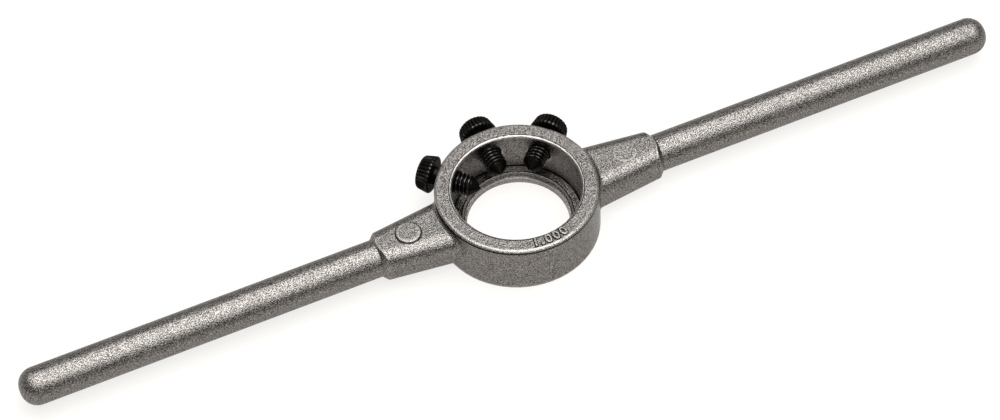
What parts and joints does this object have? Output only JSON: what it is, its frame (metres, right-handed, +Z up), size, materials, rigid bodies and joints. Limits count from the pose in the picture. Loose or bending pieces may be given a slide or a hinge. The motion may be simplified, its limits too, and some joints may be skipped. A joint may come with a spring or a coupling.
{
  "type": "die stock handle",
  "caption": "Cast ring with a stepped pocket for a round split die, two straight arms on tapered bosses, and knurled cone-point screws that hold and adjust the die.",
  "frame": {"origin": "the die axis, in the plane that the ring rests on", "axes": "+X along the right arm, +Y towards the centre screw, +Z up out of the die pocket's mouth"},
  "size_m": [0.2082, 0.037, 0.0112],
  "materials": {
    "casting": "bead-blasted zinc die casting, satin",
    "screws": "black oxide steel, lightly oiled"
  },
  "bodies": {
    "stock_body": {"stock_body": "casting"},
    "right_screw": {"right_screw": "screws"},
    "centre_screw": {"centre_screw": "screws"},
    "left_screw": {"left_screw": "screws"}
  },
  "joints": [
    {"name": "right_screw_travel", "type": "slide", "parent": "stock_body", "child": "right_screw", "axis": [0.7071, 0.7071, 0], "range_m": [-0.0011, 0.0052]},
    {"name": "centre_screw_travel", "type": "slide", "parent": "stock_body", "child": "centre_screw", "axis": [0, 1, 0], "range_m": [-0.0014, 0.00565]},
    {"name": "left_screw_travel", "type": "slide", "parent": "stock_body", "child": "left_screw", "axis": [-0.6896, 0.7242, 0], "range_m": [-0.00125, 0.00505]}
  ]
}
